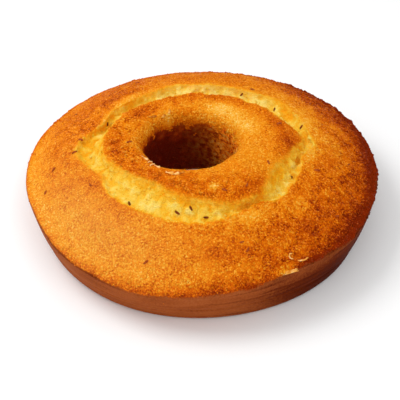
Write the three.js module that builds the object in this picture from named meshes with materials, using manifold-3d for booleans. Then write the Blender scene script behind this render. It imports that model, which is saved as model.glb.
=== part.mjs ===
// Cornmeal ring cake, baked in a tube pan and standing right side up.
// Millimetres, +Z up. The origin is under the middle of the cake, at its foot, and its front faces -Y.
// The top crust has split in a ring, and the crumb round the hole has risen through the split.
import * as THREE from "three";
import { mergeVertices } from "three/addons/utils/BufferGeometryUtils.js";
import Module from "manifold-3d";

// Driving dimensions of the pan's shape
const rimDiameter = 240; // the widest line, where the top crust meets the side
const rimHeight = 29;
const footDiameter = 222;
const footShift = 1.5; // the foot stands off the rim's middle, towards +X
const footSpots = [
  { at: -40, spread: 25, out: 1.8 },
  { at: -80, spread: 40, out: 0.8 },
  { at: -118, spread: 28, out: 1.8 },
];
const footRound = 4;
const sideBelly = 0.8; // how far the side swells between foot and rim
const rimRound = 3.5;
const rimSpots = [
  { at: 90, spread: 32, out: -2.5 },
  { at: 8, spread: 32, out: 2 },
  { at: -30, spread: 14, out: 1.2 },
  { at: -57, spread: 18, out: -2.2 },
  { at: -110, spread: 20, out: 1.2 },
  { at: -156, spread: 25, out: -3.6 },
];
const holeTopDiameter = 62;
const holeTopShift = -5.5;
const holeFootDiameter = 74;
const holeFootShift = -2;

// Driving dimensions of the risen top
const domeRise = 27; // above the rim
const domeCrestRadius = 50;
const riseTilt = 0.034; // the +X side rose higher, in mm for each mm across
const backDrop = [{ at: 80, spread: 42, down: 2.4 }]; // the dome falls lower towards the back of the rim
const backDropStart = 84;
const backDropEnd = 118;
const ringLift = 3.6; // how far the crust round the hole stands above the dome
const ringLean = 3; // it leans, so that it stands higher in front and lower behind
const lipRound = 10; // how the top rolls down into the hole
const lipSpots = [{ at: 100, spread: 65, out: -3 }]; // it rolls in more tightly at the back
const ringFall = 0.8; // how far the ring rolls down at its outer edge
const ringFallSpots = [
  { at: -20, spread: 45, down: 2.4 },
  { at: -110, spread: 45, down: 1 },
];
const crustSwell = 0.7; // low swells of the whole crust

// The split in the crust
const splitInnerRadius = 61.5;
const splitShift = 6.5; // the split's ring lies towards the front
const splitStretch = 2.6; // and is longer from side to side
const splitGap = 11;
const splitGapLeast = 2;
const splitDepth = 3.8; // how far its floor sinks below a straight line across it
const splitDepthLean = 2.2; // a ramp in front, a valley behind
const splitCrag = 1.1; // how far its edges wander
const splitSpots = [
  { at: 178, spread: 13, inner: 0, outer: 8 },
  { at: 162, spread: 8, inner: 0, outer: -4 },
  { at: 108, spread: 13, inner: -1, outer: 4 },
  { at: 36, spread: 20, inner: -2, outer: 2 },
  { at: 4, spread: 9, inner: 6.5, outer: 0 },
  { at: -4, spread: 5, inner: 0, outer: 4 },
  { at: -12, spread: 12, inner: 0, outer: -4 },
  { at: -27, spread: 14, inner: 0, outer: -4 },
  { at: -62, spread: 10, inner: 0, outer: -7 },
  { at: -66, spread: 17, inner: 5, outer: 1 },
  { at: -126, spread: 10, inner: 0, outer: -2 },
  { at: -128, spread: 28, inner: -7.5, outer: 0 },
  { at: -152, spread: 12, inner: 0, outer: -5 },
]; // where an edge stands in or out of the plain ring

// Fennel seeds that show on the crust and in the split
const seedLength = 4.4;
const seedWidth = 1.6;
const seedSink = 0.35; // the share of its thickness that lies under the surface
const seedsInSplit = [
  [-127, 72.5, -77], [-101, 70, -45], [-94, 67.5, -64], [-86, 72.5, 0], [-29, 69.4, 78],
  [15, 73, 45], [37.5, 67.6, 60], [62, 64.5, 42], [157, 68.5, -45],
]; // degrees round the ring, distance from the axis and the way it points
const seedsOnRing = [
  [-174, 46, 31], [-74, 60, -31], [-59.5, 61.2, 69], [-34, 55, -72], [13, 56, 31],
];
const seedsOnCrust = [
  [-179, 83.5, 37], [-173, 98, 52], [-163, 105.7, 64], [-152, 79.5, -66], [-108, 104, 40], [-73, 94, 20], [-72, 98.5, 70],
  [-34, 107, 30], [-20, 83, 0], [-7, 101, 50], [57, 71, -31], [118.5, 94.5, 20], [149, 101.5, -50], [172, 81, -33],
];

// How finely each stretch of the outline is divided, and the steps round the ring
const turnSteps = 112;
const footSteps = 2;
const sideSteps = 4;
const rimSteps = 3;
const crustSteps = 9;
const splitSteps = 6;
const ringSteps = 6;
const lipSteps = 5;
const wallSteps = 4;

const radians = THREE.MathUtils.degToRad;
const lerp = THREE.MathUtils.lerp;

// A smooth wave round the ring, made of a few whole-numbered ripples
function ripple(angle, counts, phase) {
  const sum = counts.reduce((total, count, i) => total + Math.sin(count * angle + phase + 2.4 * i), 0);
  return sum / counts.length;
}

// What a list of spots adds at one angle, each fading out over its spread
function spotSum(angle, spots, key) {
  return spots.reduce((total, spot) => {
    const away = angle - radians(spot.at);
    const turn = Math.atan2(Math.sin(away), Math.cos(away));
    return total + spot[key] * Math.exp(-((turn / radians(spot.spread)) ** 2));
  }, 0);
}

const footRadius = (angle) => footDiameter / 2 + footShift * Math.cos(angle) + spotSum(angle, footSpots, "out");
const rimRadius = (angle) => rimDiameter / 2 + spotSum(angle, rimSpots, "out") + 0.5 * ripple(angle, [7, 11], 0.7);
const holeTopRadius = (angle) =>
  holeTopDiameter / 2 + holeTopShift * Math.cos(angle) + 0.7 * ripple(angle, [3, 7, 10], 2.1);
const holeFootRadius = (angle) => holeFootDiameter / 2 + holeFootShift * Math.cos(angle);

// The unbroken dome: a parabola that falls from its crest to the rim, tilted a little
function domeHeight(angle, radius) {
  const fall = (radius - domeCrestRadius) / (rimDiameter / 2 - domeCrestRadius);
  const swell = crustSwell * ripple(angle, [2, 5, 7], radius / 14) * Math.min(1, (rimDiameter / 2 - radius) / 20);
  const drop = spotSum(angle, backDrop, "down") * THREE.MathUtils.smoothstep(radius, backDropStart, backDropEnd);
  return rimHeight + domeRise * (1 - fall ** 2) + riseTilt * radius * Math.cos(angle) + swell - drop;
}

// The crust round the hole: the dome, lifted by the crumb under it
function ringHeight(angle, radius) {
  const edgeFall = Math.max(0, (radius - domeCrestRadius) / (splitInnerRadius - domeCrestRadius));
  const crest = Math.min(radius, domeCrestRadius + 0.35 * Math.max(0, radius - domeCrestRadius));
  const fall = (ringFall + spotSum(angle, ringFallSpots, "down")) * edgeFall ** 2;
  return domeHeight(angle, crest) + ringLift - ringLean * Math.sin(angle) - fall;
}

function splitEdges(angle) {
  const ring = splitInnerRadius - splitShift * Math.sin(angle) + splitStretch * Math.cos(2 * angle);
  const inner = ring + spotSum(angle, splitSpots, "inner") + splitCrag * ripple(angle, [4, 9, 13], 1.3);
  const outer = ring + splitGap + spotSum(angle, splitSpots, "outer") + splitCrag * ripple(angle, [6, 11, 17], 4.2);
  return { inner, outer: Math.max(outer, inner + splitGapLeast) };
}

// Points along a stretch of the outline, from its start up to but not including its end
function stretch(steps, pointAt) {
  return Array.from({ length: steps }, (_, i) => pointAt(i / steps));
}

// The whole outline at one angle, from the foot's outer edge over the top and down the hole
function outline(angle) {
  const foot = footRadius(angle);
  const rim = rimRadius(angle);
  const rimTop = domeHeight(angle, rim - rimRound);
  const sideTop = rimTop - rimRound;
  const { inner, outer } = splitEdges(angle);
  const outerLip = domeHeight(angle, outer);
  const innerLip = ringHeight(angle, inner);
  const depth = splitDepth + splitDepthLean * Math.sin(angle);
  const hole = holeTopRadius(angle);
  const roll = lipRound + spotSum(angle, lipSpots, "out");
  const lipTop = ringHeight(angle, hole + roll);
  const wallTop = lipTop - 1.4 * roll;

  const footEdge = stretch(footSteps, (t) => {
    const turn = (t * Math.PI) / 2;
    return [foot - footRound * (1 - Math.sin(turn)), footRound * (1 - Math.cos(turn))];
  });
  const side = stretch(sideSteps, (t) => [
    lerp(foot, rim, t) + sideBelly * Math.sin(Math.PI * t),
    lerp(footRound, sideTop, t),
  ]);
  const rimEdge = stretch(rimSteps, (t) => {
    const turn = (t * Math.PI) / 2;
    return [rim - rimRound * (1 - Math.cos(turn)), lerp(sideTop, rimTop, Math.sin(turn))];
  });
  const crust = stretch(crustSteps, (t) => {
    const radius = lerp(rim - rimRound, outer, t);
    return [radius, domeHeight(angle, radius)];
  });
  const split = stretch(splitSteps, (t) => [
    lerp(outer, inner, t),
    lerp(outerLip, innerLip, t ** 1.4) - depth * Math.sin(Math.PI * t ** 0.9) * (1 + 0.25 * ripple(angle, [13, 21], 9 * t)),
  ]);
  const ring = stretch(ringSteps, (t) => {
    const radius = lerp(inner, hole + roll, t);
    return [radius, ringHeight(angle, radius)];
  });
  const lip = stretch(lipSteps, (t) => {
    const turn = (t * Math.PI) / 2;
    return [hole + roll * (1 - Math.sin(turn)), lerp(lipTop, wallTop, 1 - Math.cos(turn))];
  });
  const wall = stretch(wallSteps + 1, (t) => [
    lerp(hole, holeFootRadius(angle), (t * (wallSteps + 1)) / wallSteps),
    wallTop * (1 - (t * (wallSteps + 1)) / wallSteps),
  ]);
  return [...footEdge, ...side, ...rimEdge, ...crust, ...split, ...ring, ...lip, ...wall];
}

// The outline turned round the axis, with each column of points set to the outline at its own angle
function cakeGeometry() {
  const first = outline(0);
  const closed = [...first, first[0]].map(([radius, height]) => new THREE.Vector2(radius, height));
  const geometry = new THREE.LatheGeometry(closed, turnSteps);
  const position = geometry.getAttribute("position");
  for (let step = 0; step <= turnSteps; step++) {
    const angle = ((step % turnSteps) / turnSteps) * 2 * Math.PI;
    const points = outline(angle);
    closed.forEach((_, i) => {
      const [radius, height] = points[i % points.length];
      position.setXYZ(step * closed.length + i, radius * Math.cos(angle), radius * Math.sin(angle), height);
    });
  }
  return geometry;
}

// The top's height over a place on the plan, read off the outline there
function topPoint(angle, radius) {
  const points = outline(angle);
  const over = points.findIndex(([r], i) => i > footSteps + sideSteps + rimSteps && r <= radius);
  const [r0, z0] = points[over - 1];
  const [r1, z1] = points[over];
  const height = lerp(z0, z1, (radius - r0) / (r1 - r0));
  return new THREE.Vector3(radius * Math.cos(angle), radius * Math.sin(angle), height);
}

function topNormal(angle, radius) {
  const step = 1.5;
  const across = topPoint(angle, radius + step).sub(topPoint(angle, radius - step));
  const along = topPoint(angle + step / radius, radius).sub(topPoint(angle - step / radius, radius));
  return across.cross(along).normalize();
}

// One seed lying on the top, turned about the crust's normal; its long side is along Y until then
function seedGeometry([at, radius, pointing]) {
  const geometry = new THREE.SphereGeometry(0.5, 6, 4);
  const angle = radians(at);
  const spin = radians(pointing - 90);
  const normal = topNormal(angle, radius);
  const place = topPoint(angle, radius).addScaledVector(normal, seedWidth * (0.5 - seedSink));
  const lie = new THREE.Quaternion().setFromUnitVectors(new THREE.Vector3(0, 0, 1), normal);
  const turned = lie.multiply(new THREE.Quaternion().setFromAxisAngle(new THREE.Vector3(0, 0, 1), spin));
  const size = new THREE.Vector3(seedWidth, seedLength, seedWidth);
  return geometry.applyMatrix4(new THREE.Matrix4().compose(place, turned, size));
}

const wasm = await Module();
wasm.setup();

function solidOf(geometry) {
  geometry.deleteAttribute("normal");
  geometry.deleteAttribute("uv");
  const merged = mergeVertices(geometry, 1e-3);
  return new wasm.Manifold(
    new wasm.Mesh({
      numProp: 3,
      vertProperties: merged.getAttribute("position").array,
      triVerts: new Uint32Array(merged.index.array),
    }),
  );
}

function geometryOf(solid) {
  const { vertProperties, triVerts } = solid.getMesh();
  const geometry = new THREE.BufferGeometry();
  geometry.setAttribute("position", new THREE.BufferAttribute(vertProperties, 3));
  geometry.setIndex(new THREE.BufferAttribute(triVerts, 1));
  geometry.computeVertexNormals();
  return geometry;
}

const seeded = [...seedsInSplit, ...seedsOnRing, ...seedsOnCrust].reduce(
  (cake, seed) => cake.add(solidOf(seedGeometry(seed))),
  solidOf(cakeGeometry()),
);

const cake = new THREE.Mesh(
  geometryOf(seeded),
  new THREE.MeshStandardMaterial({ color: 0xe08a2c, roughness: 0.75, metalness: 0 }),
);
cake.name = "cake";

// The uneven rim leaves the shape a little off the middle, so the cake is set back over the origin
cake.geometry.computeBoundingBox();
const middle = cake.geometry.boundingBox.getCenter(new THREE.Vector3());
cake.position.set(-middle.x, -middle.y, 0);

const ringCake = new THREE.Group();
ringCake.add(cake);

export default ringCake;
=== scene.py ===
import bpy
import math
import numpy as np
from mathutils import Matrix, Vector


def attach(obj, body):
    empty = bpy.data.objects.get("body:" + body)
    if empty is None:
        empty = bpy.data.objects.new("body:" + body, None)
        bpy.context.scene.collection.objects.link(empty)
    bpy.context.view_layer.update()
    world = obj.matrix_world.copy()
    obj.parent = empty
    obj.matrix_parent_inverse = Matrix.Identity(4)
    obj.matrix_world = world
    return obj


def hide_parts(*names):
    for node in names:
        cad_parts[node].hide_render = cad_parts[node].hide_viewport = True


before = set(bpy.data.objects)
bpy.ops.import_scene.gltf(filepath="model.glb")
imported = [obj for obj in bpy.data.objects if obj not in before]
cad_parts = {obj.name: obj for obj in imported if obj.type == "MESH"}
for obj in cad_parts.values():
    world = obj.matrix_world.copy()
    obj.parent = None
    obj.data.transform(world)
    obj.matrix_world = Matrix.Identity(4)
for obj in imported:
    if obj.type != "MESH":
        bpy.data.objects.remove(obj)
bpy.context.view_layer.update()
mm = 0.001


def srgb(hexColour):
    channels = [int(hexColour[i:i + 2], 16) / 255 for i in (0, 2, 4)]
    return tuple(c / 12.92 if c <= 0.04045 else ((c + 0.055) / 1.055) ** 2.4 for c in channels) + (1.0,)


# Adds a node, sets its sockets (by name or number), properties and ramp stops, and links it
def addNode(tree, kind, settings=None, links=None):
    node = tree.nodes.new("ShaderNode" + kind)
    for key, value in (settings or {}).items():
        if key == "stops":
            ramp = node.color_ramp
            while len(ramp.elements) < len(value):
                ramp.elements.new(1.0)
            for element, (place, colour) in zip(ramp.elements, value):
                element.position = place
                element.color = srgb(colour)
        elif isinstance(key, int) or key in node.inputs:
            node.inputs[key].default_value = value
        else:
            setattr(node, key, value)
    for key, source in (links or {}).items():
        tree.links.new(source, node.inputs[key])
    return node


def newMaterial(name):
    material = bpy.data.materials.new(name)
    material.use_nodes = True
    material.node_tree.nodes.clear()
    return material, material.node_tree


def deselectAll():
    if bpy.context.object and bpy.context.object.mode != "OBJECT":
        bpy.ops.object.mode_set(mode="OBJECT")
    bpy.ops.object.select_all(action="DESELECT")


def placeApplied():
    bpy.ops.object.transform_apply(location=True, rotation=True, scale=True)


def finishPiece(piece, material):
    piece.data.materials.clear()
    piece.data.materials.append(material)
    deselectAll()
    piece.select_set(True)
    bpy.context.view_layer.objects.active = piece
    bpy.ops.object.shade_smooth()
    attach(piece, "root")
    print(piece.name, "has", sum(len(p.vertices) - 2 for p in piece.data.polygons), "triangles")


def readPoints(mesh, what):
    values = np.empty(len(mesh.vertices) * 3)
    mesh.vertices.foreach_get(what, values)
    return values.reshape(-1, 3)


def setField(mesh, name, values):
    layer = mesh.attributes.new(name, "FLOAT", "POINT")
    layer.data.foreach_set("value", values.astype(np.float32))


# The cake's outline in millimetres, as the solid has it; spots are (degrees, spread in degrees, mm)
cake = {
    "middle": (-1.7895, 1.4189),  # the round rim's centre, off the origin because the rim is uneven
    "rimRadius": 120,
    "rimHeight": 29,
    "rimRound": 3.5,
    "rimRipple": 0.5,
    "rimSpots": [(90, 32, -2.5), (8, 32, 2), (-30, 14, 1.2), (-57, 18, -2.2), (-110, 20, 1.2),
                 (-156, 25, -3.6)],
    "footRadius": 111,
    "footShift": 1.5,
    "footSpots": [(-40, 25, 1.8), (-80, 40, 0.8), (-118, 28, 1.8)],
    "footRound": 4,
    "sideBelly": 0.8,
    "creases": [(13.5, 0.4), (10.4, 3.9)],  # faint ones that the pan pressed into the side: height and phase
    "creaseDepth": 0.55,
    "creaseWidth": 0.9,
    "creaseWander": 0.9,
    "creaseShow": 0.55,  # they come and go round this strength
    "holeTopRadius": 31,
    "holeTopShift": -5.5,
    "holeRipple": 0.7,
    "holeFootRadius": 37,
    "holeFootShift": -2,
    "domeRise": 27,
    "domeCrest": 50,
    "riseTilt": 0.034,
    "backDrop": [(80, 42, 2.4)],
    "backDropReach": (84, 118),
    "crustSwell": 0.7,
    "swellEdge": 20,  # the swell dies away this far from the rim
    "ringLift": 3.6,
    "ringLean": 3,
    "ringCrown": 0.35,  # past the crest, the ring follows the dome for this share of the way
    "ringFall": 0.8,
    "ringFallSpots": [(-20, 45, 2.4), (-110, 45, 1.0)],
    "lipRound": 10,
    "lipDepth": 1.4,  # times how far it is rounded
    "lipSpots": [(100, 65, -3)],
    "splitRadius": 61.5,
    "splitShift": 6.5,
    "splitStretch": 2.6,
    "splitGap": 11,
    "splitGapLeast": 2,
    "splitDepth": 3.8,
    "splitDepthLean": 2.2,
    "splitRipple": 0.25,
    "splitSkew": 0.9,  # deepest a little nearer to the outer edge
    "splitClimb": 1.4,  # and steeper towards the ring
    "splitCrag": 1.1,
    "innerSpots": [(108, 13, -1), (36, 20, -2), (4, 9, 6.5), (-66, 17, 5), (-128, 28, -7.5)],
    "outerSpots": [(178, 13, 8), (162, 8, -4), (108, 13, 4), (36, 20, 2), (-4, 5, 4), (-12, 12, -4),
                   (-27, 14, -4), (-62, 10, -7), (-66, 17, 1), (-126, 10, -2), (-152, 12, -5)],
    "turnSteps": 560,
    "rows": {"foot": 4, "side": 28, "rim": 8, "crust": 46, "split": 24, "ring": 22, "lip": 16, "wall": 20,
             "base": 3},
}


def ripple(angle, counts, phase):
    return sum(np.sin(count * angle + phase + 2.4 * i) for i, count in enumerate(counts)) / len(counts)


def spotSum(angle, spots):
    total = 0 * angle
    for at, spread, amount in spots:
        turn = np.angle(np.exp(1j * (angle - math.radians(at))))
        total = total + amount * np.exp(-((turn / math.radians(spread)) ** 2))
    return total


def blendTo(start, end, share):
    return start + (end - start) * share


def smoothRise(value, low, high):
    share = np.clip((value - low) / (high - low), 0, 1)
    return share * share * (3 - 2 * share)


def domeHeight(angle, radius):
    fall = (radius - cake["domeCrest"]) / (cake["rimRadius"] - cake["domeCrest"])
    edge = np.minimum(1, (cake["rimRadius"] - radius) / cake["swellEdge"])
    swell = cake["crustSwell"] * ripple(angle, (2, 5, 7), radius / 14) * edge
    tilt = cake["riseTilt"] * radius * np.cos(angle)
    drop = spotSum(angle, cake["backDrop"]) * smoothRise(radius, *cake["backDropReach"])
    return cake["rimHeight"] + cake["domeRise"] * (1 - fall ** 2) + tilt + swell - drop


def ringHeight(angle, radius):
    past = np.maximum(0, radius - cake["domeCrest"])
    edgeFall = past / (cake["splitRadius"] - cake["domeCrest"])
    crest = np.minimum(radius, cake["domeCrest"] + cake["ringCrown"] * past)
    fall = (cake["ringFall"] + spotSum(angle, cake["ringFallSpots"])) * edgeFall ** 2
    return domeHeight(angle, crest) + cake["ringLift"] - cake["ringLean"] * np.sin(angle) - fall


def splitEdges(angle):
    ring = cake["splitRadius"] - cake["splitShift"] * np.sin(angle) + cake["splitStretch"] * np.cos(2 * angle)
    inner = ring + spotSum(angle, cake["innerSpots"]) + cake["splitCrag"] * ripple(angle, (4, 9, 13), 1.3)
    outer = ring + cake["splitGap"] + spotSum(angle, cake["outerSpots"])
    outer = outer + cake["splitCrag"] * ripple(angle, (6, 11, 17), 4.2)
    return inner, np.maximum(outer, inner + cake["splitGapLeast"])


# Radius and height of every point: a row for each step along the outline, a column for each turn
def cakeOutline(angle):
    foot = cake["footRadius"] + cake["footShift"] * np.cos(angle) + spotSum(angle, cake["footSpots"])
    rim = cake["rimRadius"] + spotSum(angle, cake["rimSpots"])
    rim = rim + cake["rimRipple"] * ripple(angle, (7, 11), 0.7)
    rimTop = domeHeight(angle, rim - cake["rimRound"])
    sideTop = rimTop - cake["rimRound"]
    inner, outer = splitEdges(angle)
    outerLip, innerLip = domeHeight(angle, outer), ringHeight(angle, inner)
    depth = cake["splitDepth"] + cake["splitDepthLean"] * np.sin(angle)
    hole = cake["holeTopRadius"] + cake["holeTopShift"] * np.cos(angle)
    hole = hole + cake["holeRipple"] * ripple(angle, (3, 7, 10), 2.1)
    holeFoot = cake["holeFootRadius"] + cake["holeFootShift"] * np.cos(angle)
    roll = cake["lipRound"] + spotSum(angle, cake["lipSpots"])
    lipTop = ringHeight(angle, hole + roll)
    wallTop = lipTop - cake["lipDepth"] * roll
    share = {name: np.arange(count)[:, None] / count for name, count in cake["rows"].items()}
    turn = {name: t * math.pi / 2 for name, t in share.items()}
    flat = 0 * angle

    t = turn["foot"]
    parts = [(foot - cake["footRound"] * (1 - np.sin(t)), cake["footRound"] * (1 - np.cos(t)) + flat)]
    t = share["side"]
    radius = blendTo(foot, rim, t) + cake["sideBelly"] * np.sin(math.pi * t)
    height = blendTo(cake["footRound"], sideTop, t)
    for level, phase in cake["creases"]:
        line = level + cake["creaseWander"] * ripple(angle, (3, 5, 8), phase)
        strength = np.clip(cake["creaseShow"] + ripple(angle, (4, 7, 11), phase + 1), 0, 1)
        dent = np.exp(-(((height - line) / cake["creaseWidth"]) ** 2))
        radius = radius - cake["creaseDepth"] * strength * dent
    parts.append((radius, height))
    t = turn["rim"]
    parts.append((rim - cake["rimRound"] * (1 - np.cos(t)), blendTo(sideTop, rimTop, np.sin(t))))
    radius = blendTo(rim - cake["rimRound"], outer, share["crust"])
    parts.append((radius, domeHeight(angle, radius)))
    t = share["split"]
    sag = depth * np.sin(math.pi * t ** cake["splitSkew"])
    sag = sag * (1 + cake["splitRipple"] * ripple(angle, (13, 21), 9 * t))
    parts.append((blendTo(outer, inner, t), blendTo(outerLip, innerLip, t ** cake["splitClimb"]) - sag))
    radius = blendTo(inner, hole + roll, share["ring"])
    parts.append((radius, ringHeight(angle, radius)))
    t = turn["lip"]
    parts.append((hole + roll * (1 - np.sin(t)), blendTo(lipTop, wallTop, 1 - np.cos(t))))
    t = share["wall"]
    parts.append((blendTo(hole, holeFoot, t), wallTop * (1 - t)))
    t = share["base"]
    parts.append((blendTo(holeFoot, foot - cake["footRound"], t), 0 * t + flat))
    return np.concatenate([p[0] for p in parts]), np.concatenate([p[1] for p in parts])


# Relief of each region: kind of noise, size and height in mm
relief = {
    "lumps": {"group": "crustPart", "noise": "BLENDER_ORIGINAL", "size": 14, "height": 0.9},
    "grain": {"group": "crustPart", "noise": "BLENDER_ORIGINAL", "size": 2.6, "height": 0.6},
    "crags": {"group": "cragPart", "noise": "BLENDER_ORIGINAL", "size": 3.6, "height": 2.2},
    "bigCrags": {"group": "cragPart", "noise": "BLENDER_ORIGINAL", "size": 7, "height": 2.0},
    "crumbLumps": {"group": "crumbPart", "noise": "BLENDER_ORIGINAL", "size": 9, "height": 3.0},
    "crumbPlates": {"group": "crumbPart", "noise": "VORONOI_F2_F1", "size": 6.5, "height": 2.6},
    "crumbTears": {"group": "crumbPart", "noise": "BLENDER_ORIGINAL", "size": 2.4, "height": 0.7},
    "tornEdges": {"group": "tornPart", "noise": "BLENDER_ORIGINAL", "size": 4.4, "height": 2.2},
}

# How brown each place is baked, with painted shade on the right and painted light on the left of the cake:
# (degrees, mm from the middle, spread in degrees, spread in mm, tone)
bakeAndShadeSpots = [
    (2, 118, 55, 22, 0.8),
    (5, 119, 40, 8, 0.45),
    (-5, 98, 45, 20, -0.15),
    (38, 108, 30, 14, 0.35),
    (-45, 102, 30, 25, 0.45),
    (-20, 86, 14, 9, 0.3),
    (95, 105, 60, 14, 0.42),
    (90, 80, 45, 10, 0.22),
    (36, 95, 22, 14, 0.3),
    (140, 90, 25, 18, 0.18),
    (-172, 55, 28, 9, 0.35),
    (-125, 52, 26, 8, 0.4),
    (-90, 55, 22, 8, 0.4),
    (-58, 64, 14, 8, 0.6),
    (-4, 61, 13, 8, 0.9),
    (14, 55, 9, 5, 0.4),
    (143, 49, 16, 7, 0.45),
    (95, 52, 25, 6, 0.25),
    (75, 50, 28, 5, 0.3),
    (25, 53, 20, 5, 0.3),
    (72, 38, 20, 6, -0.3),
    (135, 83, 10, 6, 0.4),
    (162, 75, 8, 5, 0.4),
    (-150, 78, 5, 3, 0.5),
    (-133, 77, 4, 3, 0.4),
    (178, 90, 40, 14, 0.15),
    (-168, 114, 32, 9, -0.3),
    (152, 69, 14, 5, -0.8),
    (-130, 100, 28, 20, -0.25),
    (-97, 112, 14, 4, -0.25),
    (-82, 97, 12, 9, 0.12),
    (5, 36, 30, 9, -0.2),
    (56, 38, 26, 7, -0.55),
    (42, 33, 12, 5, -0.3),
    (22, 35, 13, 6, -0.5),
    (125, 37.2, 5, 3, -0.6),
    (155, 39, 14, 4, -0.3),
    (-66, 79, 12, 5, -0.5),
    (-43, 88, 8, 5, -0.35),
    (23, 77, 14, 5, -0.35),
    (-6, 75, 8, 5, -0.5),
    (132, 72, 10, 4, -0.4),
    (-79.8, 55.2, 4, 3, -1.1),
    (-62.5, 117, 3, 3, -1.3),
]

# The same for the crumb in the split: partly how brown it is, partly painted light, paler where the split
# lies in shade
crumbToneAndLightSpots = [
    (178, 74, 14, 8, 1.1),
    (82, 63, 45, 6.5, -3.0),
    (142, 66, 20, 7, 0.8),
    (-28, 69, 18, 6, -0.6),
    (-43, 74, 10, 5, -1.2),
    (-38, 63, 20, 5, 1.6),
    (0, 70, 10, 5, 1.3),
    (-128, 72, 26, 7, -0.7),
]

# Where the crust is blotched with darker patches, dry and mixed with a paler tan, or craggy on the ring, with
# a strength
mottleSpots = [
    (0, 100, 60, 30, 0.8),
    (-60, 95, 30, 20, 0.5),
    (150, 85, 45, 14, 0.9),
    (-170, 52, 50, 12, 1.0),
    (-90, 55, 45, 10, 0.8),
    (100, 50, 40, 8, 0.5),
]
drySpots = [(-138, 98, 36, 24, 0.85)]
cragSpots = [(-170, 52, 45, 8, 0.45), (-90, 54, 30, 7, 0.35)]

# What changes round the cake: spots are (degrees, spread in degrees, amount), reaches are mm from the middle,
# and the lip and the wall of the hole are counted from 0 at the ring to 1 below the lip and 2 at the foot
zones = {
    "outerFade": [(60, 50, 1), (105, 25, 0.6), (178, 22, 0.6), (-155, 9, 0.7)],  # where the edge fades
    "innerFade": [(-108, 46, 1.4), (-34, 24, 1.7)],
    "outerSpill": [(-155, 6, -3.5), (4, 8, 2), (90, 32, 0.3)],  # mm that the crumb runs over the edge
    "innerSpill": [(-36, 13, 4), (-20, 12, 3)],
    "crustOver": [(138, 26, 0.1), (-25, 20, 0.05), (-60, 8, 0.1)],  # a little crust left on the crumb
    "edgeWidth": 9,  # mm from plain crust to plain crumb
    "tornWidth": 4,
    "crumbReach": (-1, 2),  # mm inside the edge where the crumb's relief starts and is full
    "hollowSpread": 0.45,
    "roughRim": [(-10, 70, 1)],  # the right of the rim is rough, the rest nearly smooth
    "rimReach": (112, 119),
    "rimBorder": (0.55, 0.0),
    "rimWander": (0.07, 0.2),  # of that border, where the rim is smooth and what a rough one adds
    "rimCrags": (0.08, 0.9),
    "rimBake": 0.1,
    "roughBake": 0.45,
    "backBake": [(90, 45, 0.3)],
    "rollBake": 0.6,
    "frontRim": [(-85, 45, 1)],
    "frontReach": (107, 117),
    "frontBake": 0.2,
    "frontCrags": 0.5,
    "frontMottle": 0.3,
    "leastMottle": 0.25,
    "lumpyCrust": [(25, 50, 0.6), (-25, 35, 0.5)],
    "lumpyReach": (84, 112),
    # the hole's right wall: torn crumb, and painted light where the light falls on it
    "tornAndLitWall": [(16, 44, 1.6)],  # where the hole is torn open
    "tornAndLitReach": (1.45, 2.2),
    "tornReach": (0.6, 1.0),
    "backLip": [(105, 55, 0.3)],
    "darkReach": (0.35, 1.15),
    "lipReach": (0.42, 0.85),
    # painted shade on the lip down into the hole, and how much less of it where the wall is lit
    "lipShade": 0.65,
    "lipShadeLitLess": 0.6,
    "lipCragReach": (0.4, 0.8),
    "lipCrags": (0.3, 0.5),  # and what a torn lip adds
    # Painted shade on the side: darker on its right, where it lies in shade, and most at its foot
    "sideShadeSpots": [(-30, 38, -0.8), (15, 55, -0.9)],
    "sideShadeHeight": (1.9, 1.2),  # at the foot, and how much less at the rim
    "sideSmooth": 0.7,
}


def spotField(angle, radius, spots):
    total = 0 * radius
    for at, far, wide, deep, amount in spots:
        total = total + amount * spotSum(angle, [(at, wide, 1)]) * np.exp(-(((radius - far) / deep) ** 2))
    return total


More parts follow.
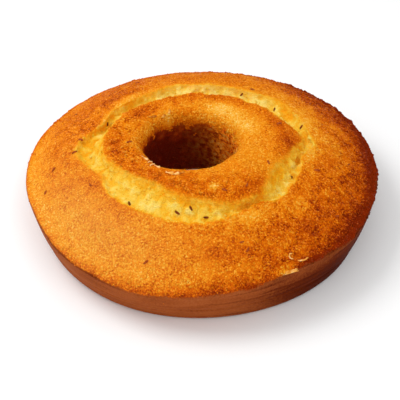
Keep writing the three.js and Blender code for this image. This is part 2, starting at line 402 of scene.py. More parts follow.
# What the material reads at each point, and the parts of the surface that get a relief
def surfaceFields(angle, radius, height, inRows, along):
    around = {name: spotSum(angle, spots) for name, spots in zones.items() if isinstance(spots, list)}
    inner, outer = splitEdges(angle)
    top = inRows["crust"] | inRows["split"] | inRows["ring"]
    inside = np.minimum(outer + around["outerSpill"] - radius, radius - inner + around["innerSpill"])
    inside = np.where(top, inside, -zones["edgeWidth"])  # mm from the nearer edge
    edgeSoft = np.where(outer - radius < radius - inner, around["outerFade"], around["innerFade"])
    show = np.clip(0.5 + inside / zones["edgeWidth"], 0, 1) * (1 - around["crustOver"])
    crumb = smoothRise(inside, *zones["crumbReach"])

    # The side, which the pan browned, up to a border that wanders along the rim
    rough = around["roughRim"]
    wander = (zones["rimWander"][0] + zones["rimWander"][1] * rough) * ripple(angle, (19, 31, 47), 0.8)
    pressed = inRows["foot"] | inRows["side"] | inRows["base"]
    side = np.where(inRows["rim"], smoothRise(along + wander, *zones["rimBorder"]), pressed) + 0 * radius
    # Painted shade on the side, darker on its right and towards its foot
    sideTone = zones["sideShadeHeight"][0] - zones["sideShadeHeight"][1] * height / cake["rimHeight"]
    sideTone = around["sideShadeSpots"] * sideTone

    # The hole, dark below its lip
    intoHole = np.where(inRows["lip"], along, 1 + along * inRows["wall"])
    intoHole = intoHole * (inRows["lip"] | inRows["wall"]) + 0 * radius
    # Paler on the hole's right wall: torn crumb, partly painted light where the light falls on it
    pale = np.minimum(1, around["tornAndLitWall"]) * (1 - smoothRise(intoHole, *zones["tornAndLitReach"]))
    deeper = intoHole - around["backLip"]
    dark = smoothRise(deeper, *zones["darkReach"])

    # The crust: how brown, how blotched and how craggy
    rimNear = smoothRise(radius, *zones["rimReach"])
    frontRim = around["frontRim"] * smoothRise(radius, *zones["frontReach"])
    lumpy = around["lumpyCrust"] * smoothRise(radius, *zones["lumpyReach"])
    # How brown each place is, with painted light and shade in it
    bake = spotField(angle, radius, bakeAndShadeSpots) + crumb * spotField(angle, radius, crumbToneAndLightSpots)
    bake += rimNear * (zones["rimBake"] + zones["roughBake"] * rough + around["backBake"])
    # Browner on the rim's roll and the front rim, and painted shade on the lip down into the hole, less where
    # its wall is lit
    bake += (zones["rollBake"] * inRows["rim"] * (1 - along) + zones["frontBake"] * frontRim
             + smoothRise(deeper, *zones["lipReach"]) * (zones["lipShade"] - zones["lipShadeLitLess"] * pale))
    mottle = spotField(angle, radius, mottleSpots) + zones["leastMottle"] + zones["frontMottle"] * frontRim
    rimCrags = rimNear * (zones["rimCrags"][0] + zones["rimCrags"][1] * rough)
    crags = np.clip(rimCrags + lumpy + zones["frontCrags"] * frontRim, 0, 1)
    crags = crags * (1 - zones["sideSmooth"] * side) * (inRows["rim"] | inRows["crust"])
    lipCrags = zones["lipCrags"][0] + zones["lipCrags"][1] * pale
    crags = np.maximum(crags, smoothRise(intoHole, *zones["lipCragReach"]) * lipCrags)
    crags = np.maximum(crags, spotField(angle, radius, cragSpots) * (1 - crumb))

    fields = {"crumbShow": show, "edgeSoft": edgeSoft, "panSide": side, "sideTone": sideTone,
              "holeDark": dark, "bake": bake, "mottle": np.clip(mottle, 0, 1) * (1 - side),
              "dry": spotField(angle, radius, drySpots) * (1 - side),
              "tornWall": pale * smoothRise(intoHole, *zones["tornReach"])}
    parts = {"crumbPart": crumb, "crustPart": (1 - crumb) * (1 - side) * (1 - dark), "cragPart": crags,
             "tornPart": np.exp(-((inside / zones["tornWidth"]) ** 2)) * top}
    return fields, parts


# A round section spun into a plain ring; each point has a row along the outline and a column round the hole
def spunRing(rowCount, columnCount):
    ringRadius, sectionRadius = 80 * mm, 20 * mm
    deselectAll()
    bpy.ops.mesh.primitive_circle_add(
        vertices=rowCount, radius=sectionRadius, location=(ringRadius, 0, 0), rotation=(math.pi / 2, 0, 0))
    ring = bpy.context.object
    placeApplied()
    bpy.ops.object.mode_set(mode="EDIT")
    bpy.ops.mesh.select_all(action="SELECT")
    bpy.ops.mesh.spin(steps=columnCount, angle=2 * math.pi, center=(0, 0, 0), axis=(0, 0, 1))
    bpy.ops.mesh.select_all(action="SELECT")
    bpy.ops.mesh.remove_doubles(threshold=0.01 * mm)
    bpy.ops.object.mode_set(mode="OBJECT")
    x, y, z = readPoints(ring.data, "co").T
    column = np.rint(np.arctan2(y, x) / (2 * math.pi) * columnCount).astype(int) % columnCount
    around = np.arctan2(z, np.hypot(x, y) - ringRadius)
    row = np.rint(around / (2 * math.pi) * rowCount).astype(int) % rowCount
    return ring, row, column


def roughen(body, parts):
    for name, field in parts.items():
        group = body.vertex_groups.new(name=name)
        weights = np.round(field, 2)
        for weight in np.unique(weights[weights > 0]):
            group.add(np.flatnonzero(weights == weight).tolist(), float(weight), "REPLACE")
    for name, kind in relief.items():
        texture = bpy.data.textures.new(name, "CLOUDS")
        texture.noise_basis = kind["noise"]
        texture.noise_scale = kind["size"] * mm
        bump = body.modifiers.new(name, "DISPLACE")
        bump.texture = texture
        bump.texture_coords = "LOCAL"
        bump.strength = kind["height"] * mm
        bump.vertex_group = kind["group"]
        bpy.ops.object.modifier_apply(modifier=name)


def cakeBody():
    rows, columnCount = cake["rows"], cake["turnSteps"]
    angle = np.arange(columnCount)[None, :] / columnCount * 2 * math.pi
    radius, height = cakeOutline(angle)
    stretch = np.repeat(list(rows), list(rows.values()))
    along = np.concatenate([np.arange(count) / count for count in rows.values()])[:, None]
    inRows = {name: (stretch == name)[:, None] for name in rows}
    fields, parts = surfaceFields(angle, radius, height, inRows, along)

    # The points of a plain ring are carried to the cake's own outline
    body, row, column = spunRing(sum(rows.values()), columnCount)
    mesh = body.data
    body.name = mesh.name = "cakeBody"
    placeX = radius * np.cos(angle) + cake["middle"][0]
    placeY = radius * np.sin(angle) + cake["middle"][1]
    shaped = np.stack([placeX[row, column], placeY[row, column], height[row, column]], -1) * mm
    mesh.vertices.foreach_set("co", shaped.ravel())
    bpy.ops.object.mode_set(mode="EDIT")
    bpy.ops.mesh.select_all(action="SELECT")
    bpy.ops.mesh.normals_make_consistent(inside=False)
    bpy.ops.object.mode_set(mode="OBJECT")
    plainNormals = readPoints(mesh, "normal")
    fields = {name: field[row, column] for name, field in fields.items()}
    parts = {name: field[row, column] for name, field in parts.items()}
    for name, field in fields.items():
        setField(mesh, name, field)
    roughen(body, parts)

    # How deep each place of the crumb lies after that, in shares of the usual unevenness; the crumb gets
    # painted amber shade where it lies deep
    places, crumb = readPoints(mesh, "co"), parts["crumbPart"]
    rise = np.sum((places - shaped) * plainNormals, 1) / mm
    plainCrumb = rise[crumb > 0.9]
    depth = 0.5 - zones["hollowSpread"] * (rise - np.mean(plainCrumb)) / np.std(plainCrumb)
    setField(mesh, "hollow", np.clip(depth, 0, 1) * crumb)

    # What the scattered pieces need to know of the finished surface
    step = np.hypot(np.gradient(radius, axis=0), np.gradient(height, axis=0))
    surface = {"place": places, "normal": readPoints(mesh, "normal"), "stretch": stretch[row],
               "angle": np.degrees(np.arctan2(np.sin(angle), np.cos(angle)))[0, column],
               "radius": radius[row, column], "area": (step * radius)[row, column],
               "crumb": crumb, "crags": parts["cragPart"]}
    return body, surface | fields


# Baked cornmeal batter: a dry crust of toasted grains, a moist yellow crumb and a smooth browned side.
# The eye reads grains of about 1 mm, a mottled golden-orange top and a matte finish with hardly any sheen.
crustLook = {
    "fields": ("crumbShow", "edgeSoft", "panSide", "sideTone", "holeDark", "bake", "mottle", "dry",
               "tornWall"),
    "colours": {
        "crust": [(0.0, "FFDC8C"), (0.2, "FDBC48"), (0.36, "F8A222"), (0.52, "EE840E"), (0.68, "D86404"),
                  (0.84, "B44604"), (1.0, "882804")],
        "crumb": [(0.12, "F29A10"), (0.28, "F6AC1E"), (0.44, "F8BE34"), (0.6, "FBCE50"), (0.85, "FFE27E")],
        "side": [(0.0, "481404"), (0.2, "622206"), (0.5, "9C4E22"), (0.8, "B46638")],
        "hole": [(0.45, "681804"), (0.6, "842406"), (0.75, "A84008"), (0.9, "CC640E")],
        # torn clumps, painted lighter where the light falls on the wall
        "tornWall": [(0.36, "D04808"), (0.45, "FF7C12"), (0.55, "FF921E"), (0.66, "FFB44C")],
    },
    "thinCrust": "FAA414",
    "paleTan": "D8A868",
    "paleTanShare": 0.24,
    # Tone of each region: its base, and how much each pattern adds
    "tones": {
        "crust": (0.323, {"bake": 0.36, "paleGrains": -0.2, "grainy": 0.66, "middling": 0.2, "broad": 0.2,
                          "pits": 0.05, "specks": 0.15, "paintedGlints": -0.2, "patches": 0.23, "creases": 0.15,
                          "pores": 0.03}),
        # The crumb is painted a deeper amber, as shade, in its hollows
        "crumb": (-0.25, {"middling": 0.85, "fine": 0.2, "tears": -0.22, "hollow": -0.28, "crumbShow": 0.42,
                          "bake": -0.12}),
        # The side's tone takes in its painted shade
        "side": (0.07, {"streaks": 0.5, "sideTone": 0.36, "lines": -0.13, "fine": 0.4}),
        "hole": (0.42, {"holeDark": -0.5, "middling": 1.0}),
        "tornWall": (0.0, {"clumps": 1.0}),
    },
    # Size of each noise in mm, and its settings
    "noises": {
        "fine": (1.25, {"Detail": 2.0}),
        "middling": (7, {"Detail": 5.0, "Roughness": 0.6}),
        "broad": (34, {"Detail": 3.0}),
        "patches": (10, {"Detail": 4.0, "Roughness": 0.65}),
        "pores": (2.6, {"Detail": 2.0, "Roughness": 0.6}),
        "creases": (5, {"Detail": 2.0, "Distortion": 0.8}),
        "tears": (4.5, {"Detail": 3.0, "Distortion": 1.2}),
        "clumps": (3.6, {"Detail": 3.0, "Roughness": 0.6}),
        "streaks": (22, {"Detail": 5.0}),
        "lines": (20, {"Detail": 2.0}),
    },
    "drawnOut": {"streaks": (0.6, 0.6, 2.0), "lines": (0.3, 0.3, 7.0)},  # these run round the side
    "grainSize": 0.9,
    # Sparse spots: mm apart, how far each reaches as a share of that, and the share of them left out
    # The paler dots are painted glints
    "sparse": {"specks": (5.5, 0.16, 0.75), "paintedGlints": (3.2, 0.17, 0.62)},
    # Thin lines: how far from the noise's middle they start and are full, and the noise that breaks them up
    "thinLines": {"creases": (0.06, 0.02, "middling", 0.48, 0.58),
                  "tears": (0.03, 0.005, "fine", 0.42, 0.52)},
    # The part of a pattern that shows, and what it is spread over
    "ranges": {"paleGrains": (0.6, 1.0, 0.0, 1.0), "pits": (0.35, 0.75, 0.0, 1.0),
               "pores": (0.57, 0.68, 0.0, 1.0), "patches": (0.36, 0.66, -0.5, 0.5),
               "lines": (0.58, 0.68, 0.0, 1.0)},
    # Borders: the field that they follow, where they start and are full, how ragged, how far they can fade
    "borders": {"thinCrust": ("crumbShow", 0.32, 0.5, 1.0, 0.28),
                "crumb": ("crumbShow", 0.45, 0.6, 1.0, 0.28),
                "side": ("panSide", 0.2, 0.8, 1.0, 0.0),
                "hole": ("holeDark", 0.46, 0.56, 2.2, 0.0)},
    "unevenGrain": {"From Min": 0.35, "From Max": 0.65, "To Min": 0.35, "To Max": 1.5},
    "dryGrain": 0.4,
    "tornClumps": {"From Min": 0.42, "From Max": 0.54, "To Min": 0.8, "To Max": 1.9},
    "ragged": {"middling": 0.8, "fine": 0.5, "shift": -0.65},
    "bumpHeight": 1.1,  # mm
    "bumpStrength": {"To Min": 0.8, "To Max": 0.12},  # on the crust and on the pressed side
    "grainFall": -0.8,
    "creaseFall": -0.5,
    "roughness": {"To Min": 0.35, "To Max": 0.75},
    "shine": {"From Min": 0.8, "From Max": 0.9, "To Max": 0.14},
    "leastShine": 0.012,
}


def cornmealCake():
    material, tree = newMaterial("bakedCornmeal")
    place = addNode(tree, "TexCoord").outputs["Object"]
    patterns = {name: addNode(tree, "Attribute", {"attribute_name": name}).outputs["Fac"]
                for name in crustLook["fields"] + ("hollow",)}
    for name, (size, settings) in crustLook["noises"].items():
        vector = place
        if name in crustLook["drawnOut"]:
            drawn = {"Scale": crustLook["drawnOut"][name]}
            vector = addNode(tree, "Mapping", drawn, {"Vector": place}).outputs[0]
        noise = addNode(tree, "TexNoise", {"Scale": 1 / (size * mm), **settings}, {"Vector": vector})
        patterns[name] = noise.outputs["Fac"]
    fine, middling, mottle = patterns["fine"], patterns["middling"], patterns["mottle"]
    grain = addNode(tree, "TexVoronoi", {"Scale": 1 / (crustLook["grainSize"] * mm)}, {"Vector": place})
    grainTone = addNode(tree, "SeparateColor", None, {0: grain.outputs["Color"]}).outputs[0]
    # The palest grains are paler, partly in their own tone and partly as painted glints
    patterns.update(paleGrains=grainTone, pits=grain.outputs["Distance"])

    # Sparse dark specks of about 1.5 mm, and painted glints: paler dots of about 1 mm
    for name, (apart, near, rare) in crustLook["sparse"].items():
        cells = addNode(tree, "TexVoronoi", {"Scale": 1 / (apart * mm)}, {"Vector": place})
        close = addNode(tree, "MapRange", {"From Min": near, "From Max": near * 0.5},
                        {"Value": cells.outputs["Distance"]})
        chance = addNode(tree, "SeparateColor", None, {0: cells.outputs["Color"]})
        picked = addNode(tree, "MapRange", {"From Min": rare, "From Max": rare + 0.05},
                         {"Value": chance.outputs[0]})
        patterns[name] = addNode(tree, "Math", {"operation": "MULTIPLY"},
                                 {0: close.outputs[0], 1: picked.outputs[0]}).outputs[0]

    # Creases in the crust and tears in the crumb, where a noise crosses its middle
    for name, (start, full, breaker, breakFrom, breakTo) in crustLook["thinLines"].items():
        line = addNode(tree, "Math", {"operation": "SUBTRACT", 1: 0.5}, {0: patterns[name]}).outputs[0]
        line = addNode(tree, "Math", {"operation": "ABSOLUTE"}, {0: line}).outputs[0]
        line = addNode(tree, "MapRange", {"From Min": start, "From Max": full}, {"Value": line}).outputs[0]
        broken = addNode(tree, "MapRange", {"From Min": breakFrom, "From Max": breakTo},
                         {"Value": patterns[breaker]}).outputs[0]
        patterns[name] = addNode(tree, "Math", {"operation": "MULTIPLY"}, {0: line, 1: broken}).outputs[0]

    # The rest shows in part, and three patterns only where the crust is blotched
    for name, (start, full, low, high) in crustLook["ranges"].items():
        spread = {"From Min": start, "From Max": full, "To Min": low, "To Max": high}
        patterns[name] = addNode(tree, "MapRange", spread, {"Value": patterns[name]}).outputs[0]
    for name in ("patches", "pores", "creases"):
        patterns[name] = addNode(tree, "Math", {"operation": "MULTIPLY"},
                                 {0: patterns[name], 1: mottle}).outputs[0]

    # The fine grain is stronger in some patches than in others, and more so where the crust is dry
    uneven = addNode(tree, "MapRange", crustLook["unevenGrain"], {"Value": middling}).outputs[0]
    drier = addNode(tree, "Math", {"operation": "MULTIPLY_ADD", 1: crustLook["dryGrain"], 2: 1.0},
                    {0: patterns["dry"]}).outputs[0]
    uneven = addNode(tree, "Math", {"operation": "MULTIPLY"}, {0: uneven, 1: drier}).outputs[0]
    grainy = addNode(tree, "Math", {"operation": "SUBTRACT", 1: 0.5}, {0: fine}).outputs[0]
    patterns["grainy"] = addNode(tree, "Math", {"operation": "MULTIPLY"}, {0: grainy, 1: uneven}).outputs[0]

    # Crust from pale to dark, torn yellow crumb, a side with streaks round it, and the browned hole
    colours = {}
    for region, (base, shares) in crustLook["tones"].items():
        tone = None
        for name, share in shares.items():
            links = {0: patterns[name]} if tone is None else {0: patterns[name], 2: tone}
            tone = addNode(tree, "Math", {"operation": "MULTIPLY_ADD", 1: share, 2: base}, links).outputs[0]
        stops = crustLook["colours"][region]
        colours[region] = addNode(tree, "ValToRGB", {"stops": stops}, {0: tone}).outputs[0]
    paleTanned = addNode(tree, "Math", {"operation": "MULTIPLY", 1: crustLook["paleTanShare"]},
                     {0: patterns["dry"]})
    colours["crust"] = addNode(tree, "Mix", {"data_type": "RGBA", 7: srgb(crustLook["paleTan"])},
                               {0: paleTanned.outputs[0], 6: colours["crust"]}).outputs[2]
    # Torn clumps on the hole's right wall, painted lighter where the light falls on it
    torn = addNode(tree, "MapRange", crustLook["tornClumps"], {"Value": patterns["clumps"]}).outputs[0]
    torn = addNode(tree, "Math", {"operation": "MULTIPLY", "use_clamp": True},
                   {0: patterns["tornWall"], 1: torn}).outputs[0]
    colours["hole"] = addNode(tree, "Mix", {"data_type": "RGBA"},
                              {0: torn, 6: colours["hole"], 7: colours["tornWall"]}).outputs[2]

    # Ragged borders between the regions, with a thin amber crust along the crumb
    jags = crustLook["ragged"]
    ragged = addNode(tree, "Math", {"operation": "MULTIPLY_ADD", 1: jags["middling"], 2: jags["shift"]},
                     {0: middling}).outputs[0]
    ragged = addNode(tree, "Math", {"operation": "MULTIPLY_ADD", 1: jags["fine"]},
                     {0: fine, 2: ragged}).outputs[0]
    holeRagged = addNode(tree, "Math", {"operation": "SUBTRACT", 1: 0.5}, {0: middling}).outputs[0]
    borders = {}
    for name, (field, start, full, jag, fade) in crustLook["borders"].items():
        shifted = addNode(tree, "Math", {"operation": "MULTIPLY_ADD", 1: jag},
                          {0: holeRagged if name == "hole" else ragged, 2: patterns[field]}).outputs[0]
        ends = [addNode(tree, "Math", {"operation": "MULTIPLY_ADD", 1: widened, 2: end},
                        {0: patterns["edgeSoft"]}).outputs[0]
                for widened, end in ((-fade, start), (fade, full))]
        borders[name] = addNode(tree, "MapRange", {"interpolation_type": "SMOOTHSTEP"},
                                {"Value": shifted, "From Min": ends[0], "From Max": ends[1]}).outputs[0]
    colour = addNode(tree, "Mix", {"data_type": "RGBA", 7: srgb(crustLook["thinCrust"])},
                     {0: borders["thinCrust"], 6: colours["crust"]}).outputs[2]
    for region in ("crumb", "side", "hole"):
        colour = addNode(tree, "Mix", {"data_type": "RGBA"},
                         {0: borders[region], 6: colour, 7: colours[region]}).outputs[2]

    # Grains stand out and creases lie deep, hardly so on the pressed side, and a few grains shine a little
    rise = addNode(tree, "Math", {"operation": "MULTIPLY_ADD", 1: crustLook["grainFall"]},
                   {0: grain.outputs["Distance"], 2: fine}).outputs[0]
    rise = addNode(tree, "Math", {"operation": "MULTIPLY_ADD", 1: crustLook["creaseFall"]},
                   {0: patterns["creases"], 2: rise}).outputs[0]
    strength = addNode(tree, "MapRange", crustLook["bumpStrength"], {"Value": borders["side"]})
    bump = addNode(tree, "Bump", {"Distance": crustLook["bumpHeight"] * mm},
                   {"Height": rise, "Strength": strength.outputs[0]}).outputs[0]
    roughness = addNode(tree, "MapRange", crustLook["roughness"], {"Value": fine}).outputs[0]
    shine = addNode(tree, "MapRange", crustLook["shine"], {"Value": grainTone}).outputs[0]
    shine = addNode(tree, "Math", {"operation": "MULTIPLY_ADD", 2: crustLook["leastShine"]},
                    {0: shine, 1: mottle}).outputs[0]
    shader = addNode(tree, "BsdfPrincipled",
                     {"IOR": 1.45, "Subsurface Weight": 0.2, "Subsurface Scale": 1.2 * mm,
                      "Subsurface Radius": (1.0, 0.5, 0.15)},
                     {"Base Color": colour, "Roughness": roughness, "Normal": bump,
                      "Specular IOR Level": shine})
    addNode(tree, "OutputMaterial", None, {0: shader.outputs[0]})
    return material


body, surface = cakeBody()
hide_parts("cake")
crustMaterial = cornmealCake()
finishPiece(body, crustMaterial)


# Points and triangles of a small shape, which leaves the scene
def takenApart(shape):
    deselectAll()
    shape.select_set(True)
    bpy.context.view_layer.objects.active = shape
    bpy.ops.object.mode_set(mode="EDIT")
    bpy.ops.mesh.select_all(action="SELECT")
    bpy.ops.mesh.normals_make_consistent(inside=False)
    bpy.ops.mesh.quads_convert_to_tris()
    bpy.ops.object.mode_set(mode="OBJECT")
    points = np.array([v.co[:] for v in shape.data.vertices])
    faces = np.array([p.vertices[:] for p in shape.data.polygons])
    bpy.ops.object.delete()
    return points, faces


# Copies of a few small shapes, each set on its own place of the surface, joined in one mesh
def scattered(name, shapes, seats, sizes, pointing, lift, fields, kinds=None):
    normal = surface["normal"][seats]
    across = np.cross(pointing, normal)
    across /= np.linalg.norm(across, axis=1)[:, None]
    basis = np.stack([across, np.cross(normal, across), normal], -1)
    place = surface["place"][seats] + normal * lift[:, None]
    points, faces, copied, start = [], [], [], 0
    for i, (shapePoints, shapeFaces) in enumerate(shapes):
        picked = np.arange(i, len(seats), len(shapes)) if kinds is None else np.flatnonzero(kinds == i)
        local = shapePoints[None] * sizes[picked][:, None, :]
        local = np.einsum("nij,nvj->nvi", basis[picked], local) + place[picked][:, None, :]
        points.append(local.reshape(-1, 3))
        firsts = start + np.arange(len(picked)) * len(shapePoints)
        faces.append((shapeFaces[None] + firsts[:, None, None]).reshape(-1, 3))
        copied.append(np.repeat(picked, len(shapePoints)))
        start += len(picked) * len(shapePoints)
    mesh = bpy.data.meshes.new(name)
    mesh.from_pydata(np.concatenate(points).tolist(), [], np.concatenate(faces).tolist())
    copied = np.concatenate(copied)
    for key, values in fields.items():
        setField(mesh, key, values[copied])
    piece = bpy.data.objects.new(name, mesh)
    bpy.context.collection.objects.link(piece)
    return piece


def anyWay(count, rng):
    turn = rng.uniform(0, 2 * math.pi, count)
    return np.stack([np.cos(turn), np.sin(turn), 0 * turn], -1)


def pickedSeats(weights, count, rng):
    return rng.choice(len(weights), count, replace=False, p=weights / weights.sum())


# Sizes of small bits: how far across in mm, and the stretch of each one sideways, lengthways and upwards
def bitSizes(kind, sizeRange, count, rng):
    across = rng.uniform(*sizeRange, count) * mm
    sideways, lengthways = rng.uniform(*kind["sideways"], count), rng.uniform(*kind["lengthways"], count)
    return across, across[:, None] * np.stack([sideways, lengthways, np.full(count, kind["upwards"])], -1)


def grainShape(variant):
    deselectAll()
    bpy.ops.mesh.primitive_ico_sphere_add(subdivisions=1, radius=0.5)
    bpy.ops.object.mode_set(mode="EDIT")
    bpy.ops.mesh.select_all(action="SELECT")
    bpy.ops.transform.vertex_random(offset=0.16, uniform=0.6, seed=variant)
    bpy.ops.object.mode_set(mode="OBJECT")
    return takenApart(bpy.context.object)


grains = {
    "seed": 11,
    "crustCount": 9600,
    "rimCount": 5200,
    "crustSize": (0.6, 1.1),  # mm across
    "rimSize": (0.8, 2.3),
    "sideways": (0.8, 1.2),
    "lengthways": (0.8, 1.3),
    "upwards": 0.8,
    "sink": 0.08,
    "toneShift": 0.1,
    "toneSpread": 0.18,
    "smoothRim": {"past": 108, "beyond": 75, "share": 0.25},  # mm and degrees; fewer grains stand out there
}


def crustGrains(name, count, weights, sizeRange, seed):
    rng = np.random.default_rng(seed)
    seats = pickedSeats(weights, count, rng)
    across, sizes = bitSizes(grains, sizeRange, count, rng)
    fields = {key: surface[key][seats] for key in crustLook["fields"]}
    fields["bake"] = fields["bake"] + grains["toneShift"] - np.abs(rng.normal(0, grains["toneSpread"], count))
    return scattered(name, grainShapes, seats, sizes, anyWay(count, rng), -grains["sink"] * across, fields)


grainShapes = [grainShape(variant) for variant in range(4)]
onTop = np.isin(surface["stretch"], ["rim", "crust", "ring", "lip"]) * (1 - surface["panSide"])
smooth = grains["smoothRim"]
smoothRim = (surface["radius"] > smooth["past"]) * (np.abs(surface["angle"]) > smooth["beyond"])
openCrust = onTop * (1 - surface["crumb"]) * (1 - surface["holeDark"]) * surface["area"]
openCrust = openCrust * np.where(smoothRim, smooth["share"], 1)
craggy = surface["crags"] * surface["area"]
finishPiece(crustGrains("crustGrains", grains["crustCount"], openCrust, grains["crustSize"], grains["seed"]),
            crustMaterial)
finishPiece(crustGrains("rimGrains", grains["rimCount"], craggy, grains["rimSize"], grains["seed"] + 1),
            crustMaterial)


crumbs = {
    "seed": 23,
    "count": 200,
    "size": (0.8, 1.8),  # mm across
    "sideways": (0.8, 1.3),
    "lengthways": (0.8, 1.4),
    "upwards": 0.7,
    "crumbShow": 0.95,
    # painted shade that each bit gets, at random
    "hollow": (0.3, 0.9),
}


def crumbBits():
    rng = np.random.default_rng(crumbs["seed"])
    count = crumbs["count"]
    seats = pickedSeats(surface["crumb"] ** 2 * surface["area"], count, rng)
    across, sizes = bitSizes(crumbs, crumbs["size"], count, rng)
    fields = {"crumbShow": np.full(count, crumbs["crumbShow"]),
              "hollow": rng.uniform(*crumbs["hollow"], count)}
    return scattered("crumbBits", grainShapes, seats, sizes, anyWay(count, rng), 0 * across, fields)


finishPiece(crumbBits(), crustMaterial)


# Fennel seeds: degrees round the ring, mm from the middle and the way each one points, as in the solid
seeds = {
    "seed": 5,
    "length": 4.4,
    "width": 1.9,
    "scale": (0.7, 1.0),
    "sink": 0.42,
    "crustSink": 0.5,
    "inSplit": 9,  # the first ones lie in the split, the rest on the crust, redder and sunk deeper
    "ribs": 5,
    "grooveDepth": 0.8,
    "places": [
        (-127, 72.5, -77), (-101, 70, -45), (-94, 67.5, -64), (-86, 72.5, 0), (-29, 69.4, 78),
        (15, 73, 45), (37.5, 67.6, 60), (62, 64.5, 42), (157, 68.5, -45),
        (-174, 46, 31), (-74, 60, -31), (-59.5, 61.2, 69), (-34, 55, -72), (13, 56, 31),
        (-179, 83.5, 37), (-173, 98, 52), (-163, 105.7, 64), (-152, 79.5, -66), (-108, 104, 40),
        (-73, 94, 20), (-72, 98.5, 70), (-34, 107, 30), (-20, 83, 0), (-7, 101, 50), (57, 71, -31),
        (118.5, 94.5, 20), (149, 101.5, -50), (172, 81, -33)],
}


def nearestSeats(places):
    top = np.flatnonzero(np.isin(surface["stretch"], ["rim", "crust", "split", "ring", "lip"]))
    x, y = (surface["place"][top, i] / mm - cake["middle"][i] for i in (0, 1))
    found = []
    for at, far, _ in places:
        turn = math.radians(at)
        found.append(top[np.argmin(np.hypot(x - far * math.cos(turn), y - far * math.sin(turn)))])
    return np.array(found)


def planDirections(places):
    turn = np.radians([pointing for _, _, pointing in places])
    return np.stack([np.cos(turn), np.sin(turn), 0 * turn], -1)


# A spindle with ribs along it
def seedShape():
    segments = 2 * seeds["ribs"]
    deselectAll()
    bpy.ops.mesh.primitive_uv_sphere_add(
        segments=segments, ring_count=8, radius=0.5, rotation=(math.pi / 2, 0, 0))
    placeApplied()
    shape = bpy.context.object
    bpy.ops.object.mode_set(mode="EDIT")
    bpy.ops.mesh.select_all(action="DESELECT")
    bpy.ops.object.mode_set(mode="OBJECT")
    for vertex in shape.data.vertices:
        turn = math.atan2(vertex.co.z, vertex.co.x) / (2 * math.pi) * segments
        vertex.select = round(turn) % 2 == 1 and math.hypot(vertex.co.x, vertex.co.z) > 0.01
    bpy.ops.object.mode_set(mode="EDIT")
    bpy.ops.transform.resize(value=(seeds["grooveDepth"], 1.0, seeds["grooveDepth"]))
    bpy.ops.object.mode_set(mode="OBJECT")
    return takenApart(shape)


def fennelSeeds():
    seats = nearestSeats(seeds["places"])
    scale = np.random.default_rng(seeds["seed"]).uniform(*seeds["scale"], len(seats)) * mm
    onCrust = np.arange(len(seats)) >= seeds["inSplit"]
    sizes = scale[:, None] * np.array([seeds["width"], seeds["length"], seeds["width"]])
    lift = seeds["width"] * (0.5 - np.where(onCrust, seeds["crustSink"], seeds["sink"])) * mm
    return scattered("fennelSeeds", [seedShape()], seats, sizes, planDirections(seeds["places"]), lift,
                     {"toasted": onCrust * 1.0})


# A dry bit: a noise and one of its own fields tint it, and the noise roughens it
def dryBit(name, size, field, share, stops, shine):
    material, tree = newMaterial(name)
    place = addNode(tree, "TexCoord").outputs["Object"]
    noise = addNode(tree, "TexNoise", {"Scale": 1 / (size * mm), "Detail": 3.0},
                    {"Vector": place}).outputs["Fac"]
    added = addNode(tree, "Attribute", {"attribute_name": field}).outputs["Fac"]
    tint = addNode(tree, "Math", {"operation": "MULTIPLY_ADD", 1: share}, {0: added, 2: noise}).outputs[0]
    colour = addNode(tree, "ValToRGB", {"stops": stops}, {0: tint}).outputs[0]
    bump = addNode(tree, "Bump", {"Strength": 0.4, "Distance": 0.2 * mm}, {"Height": noise}).outputs[0]
    shader = addNode(tree, "BsdfPrincipled", {"Roughness": 0.7, "IOR": 1.45, "Specular IOR Level": shine},
                     {"Base Color": colour, "Normal": bump})
    addNode(tree, "OutputMaterial", None, {0: shader.outputs[0]})
    return material


# Dried fennel seed: a dull brown husk, redder where it was toasted, so it reads as a small dark stroke
driedFennel = dryBit("driedFennelSeed", 1.6, "toasted", 0.3,
                     [(0.3, "54240C"), (0.5, "7A3812"), (0.7, "963C16"), (0.95, "B65E2A")], 0.06)
finishPiece(fennelSeeds(), driedFennel)


# Loose flakes of crust: degrees, mm from the middle, the way each points, length, width, how pale, shape
flakes = {
    "places": [
        (-147, 41.5, -30, 5, 1.6, 0.7, "scrap"), (-140, 42, -38, 5, 1.2, 0.9, "sliver"),
        (-134.5, 43, -40, 5, 1.2, 0.9, "sliver"), (-129, 42.5, -30, 4, 1.4, 0.9, "scrap"),
        (-113.5, 45.4, -20, 5, 1.8, 0.6, "scrap"), (-108.5, 45.3, 5, 5, 1.8, 0.6, "scrap"),
        (-104, 43, 10, 3.5, 1.3, 0, "scrap"), (140, 41, 20, 6, 1.3, 0, "scrap"),
        (121.5, 38.6, 80, 3, 1.6, 0.5, "scrap"), (129, 38, 60, 3, 1.8, 0.4, "scrap"),
        (-59.2, 109.5, 10, 7, 9, 0.55, "curl"), (-55, 114.8, 114, 8, 6, 0.5, "sliver"),
        (-61.2, 117.2, 20, 10, 2.2, 0.35, "scrap")],
    "shapes": ["scrap", "sliver", "curl"],
    "upwards": 2.0,
    "lift": 0.5,
    "bends": {"scrap": 1.1, "sliver": math.radians(70), "curl": math.radians(215)},
    "scrapWall": 0.12,
    "cuts": (0, -0.35, -0.2, 0.2, 0.35),  # along a strip, where it can bend
}


def bent(shape, axis, angle):
    bend = shape.modifiers.new("bend", "SIMPLE_DEFORM")
    bend.deform_method = "BEND"
    bend.deform_axis = axis
    bend.angle = angle
    bpy.ops.object.modifier_apply(modifier="bend")


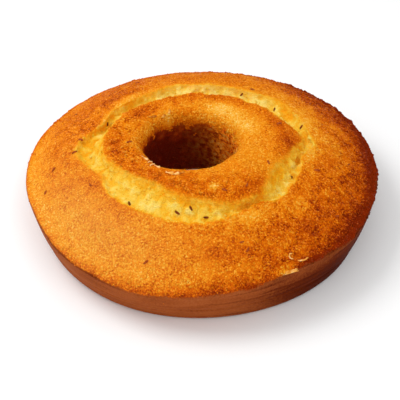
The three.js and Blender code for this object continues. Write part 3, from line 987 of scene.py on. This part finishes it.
# A torn scrap, cupped a little
def scrapShape():
    deselectAll()
    bpy.ops.mesh.primitive_grid_add(x_subdivisions=3, y_subdivisions=5, size=1)
    shape = bpy.context.object
    bpy.ops.object.mode_set(mode="EDIT")
    bpy.ops.mesh.select_all(action="SELECT")
    bpy.ops.transform.vertex_random(offset=0.1, uniform=0.8, seed=1)
    bpy.ops.object.mode_set(mode="OBJECT")
    bent(shape, "Y", flakes["bends"]["scrap"])
    wall = shape.modifiers.new("wall", "SOLIDIFY")
    wall.thickness = flakes["scrapWall"]
    bpy.ops.object.modifier_apply(modifier="wall")
    return takenApart(shape)


# A thin strip of crust that has curled round in its own plane
def stripShape(bend):
    deselectAll()
    bpy.ops.mesh.primitive_cube_add(size=1, scale=(0.1, 1, 0.3))
    placeApplied()
    shape = bpy.context.object
    bpy.ops.object.mode_set(mode="EDIT")
    for place in flakes["cuts"]:
        bpy.ops.mesh.select_all(action="SELECT")
        bpy.ops.mesh.bisect(plane_co=(0, place, 0), plane_no=(0, 1, 0))
    bpy.ops.mesh.select_all(action="SELECT")
    bpy.ops.transform.vertex_random(offset=0.03, uniform=0.5, seed=2)
    bpy.ops.transform.rotate(value=math.pi / 2, orient_axis="Z", center_override=(0, 0, 0))
    bpy.ops.object.mode_set(mode="OBJECT")
    bent(shape, "Z", bend)
    return takenApart(shape)


def crustFlakes():
    at, far, pointing, length, width, pale, shapeNames = zip(*flakes["places"])
    places = list(zip(at, far, pointing))
    kinds = np.array([flakes["shapes"].index(name) for name in shapeNames])
    shapes = [scrapShape()] + [stripShape(flakes["bends"][name]) for name in flakes["shapes"][1:]]
    across = np.where(kinds == 0, width, length)  # a strip's shape has its own width
    sizes = np.stack([across, length, np.full(len(kinds), flakes["upwards"])], -1) * mm
    lift = np.full(len(kinds), flakes["lift"] * mm)
    return scattered("crustFlakes", shapes, nearestSeats(places), sizes, planDirections(places), lift,
                     {"pale": np.array(pale)}, kinds)


# Dry flaked crust: thin and pale, with a toasted tint in places
dryFlake = dryBit("dryCrustFlake", 3, "pale", 0.5,
                  [(0.35, "B05A14"), (0.55, "DC842A"), (0.75, "F4AC4C"), (0.95, "FFD08C")], 0.05)
finishPiece(crustFlakes(), dryFlake)

# Floor, light and camera
stageSet = {
    "floorSize": 6,
    "floorColour": "FAFAFA",
    "keyPlace": (-0.56, 0.14, 0.78),
    "keySize": 0.5,
    "keyPower": 4.2,
    "fillPlace": (0.35, -0.75, 0.8),
    "fillSize": 0.9,
    "fillPower": 2.2,
    "lightsAim": (0, 0, 0.03),
    "skyColour": "FFFFFF",
    "skyStrength": 0.74,
    "cameraPlace": (-0.00069, -0.6144, 0.5417),
    "cameraDown": 41.2,  # degrees below the horizon
    "lens": 105.1,
    "sensor": 36,
}


def aimAt(place, target):
    return (Vector(target) - Vector(place)).to_track_quat("-Z", "Y").to_euler()


deselectAll()
bpy.ops.mesh.primitive_plane_add(size=stageSet["floorSize"])
floor = bpy.context.object
floor.name = "floor"
# Matt white paint: no sheen, so the eye gets only a soft shadow
floorPaint, floorTree = newMaterial("palePaintedFloor")
floorShader = addNode(floorTree, "BsdfPrincipled",
                      {"Base Color": srgb(stageSet["floorColour"]), "Roughness": 0.9})
addNode(floorTree, "OutputMaterial", None, {0: floorShader.outputs[0]})
floor.data.materials.append(floorPaint)
for name in ("key", "fill"):
    lampPlace = stageSet[name + "Place"]
    lampTurn = aimAt(lampPlace, stageSet["lightsAim"])
    bpy.ops.object.light_add(type="AREA", location=lampPlace, rotation=lampTurn)
    lamp = bpy.context.object
    lamp.name = name + "Light"
    lamp.data.size = stageSet[name + "Size"]
    lamp.data.energy = stageSet[name + "Power"]
sky = bpy.data.worlds.new("softSky")
bpy.context.scene.world = sky
sky.use_nodes = True
skyLight = sky.node_tree.nodes["Background"]
skyLight.inputs["Strength"].default_value = stageSet["skyStrength"]
skyLight.inputs["Color"].default_value = srgb(stageSet["skyColour"])
cameraTurn = (math.radians(90 - stageSet["cameraDown"]), 0, 0)
bpy.ops.object.camera_add(location=stageSet["cameraPlace"], rotation=cameraTurn)
camera = bpy.context.object
camera.data.lens = stageSet["lens"]
camera.data.sensor_width = stageSet["sensor"]
bpy.context.scene.camera = camera
bpy.context.scene.view_settings.view_transform = "Standard"
print("stage, lights and camera set")
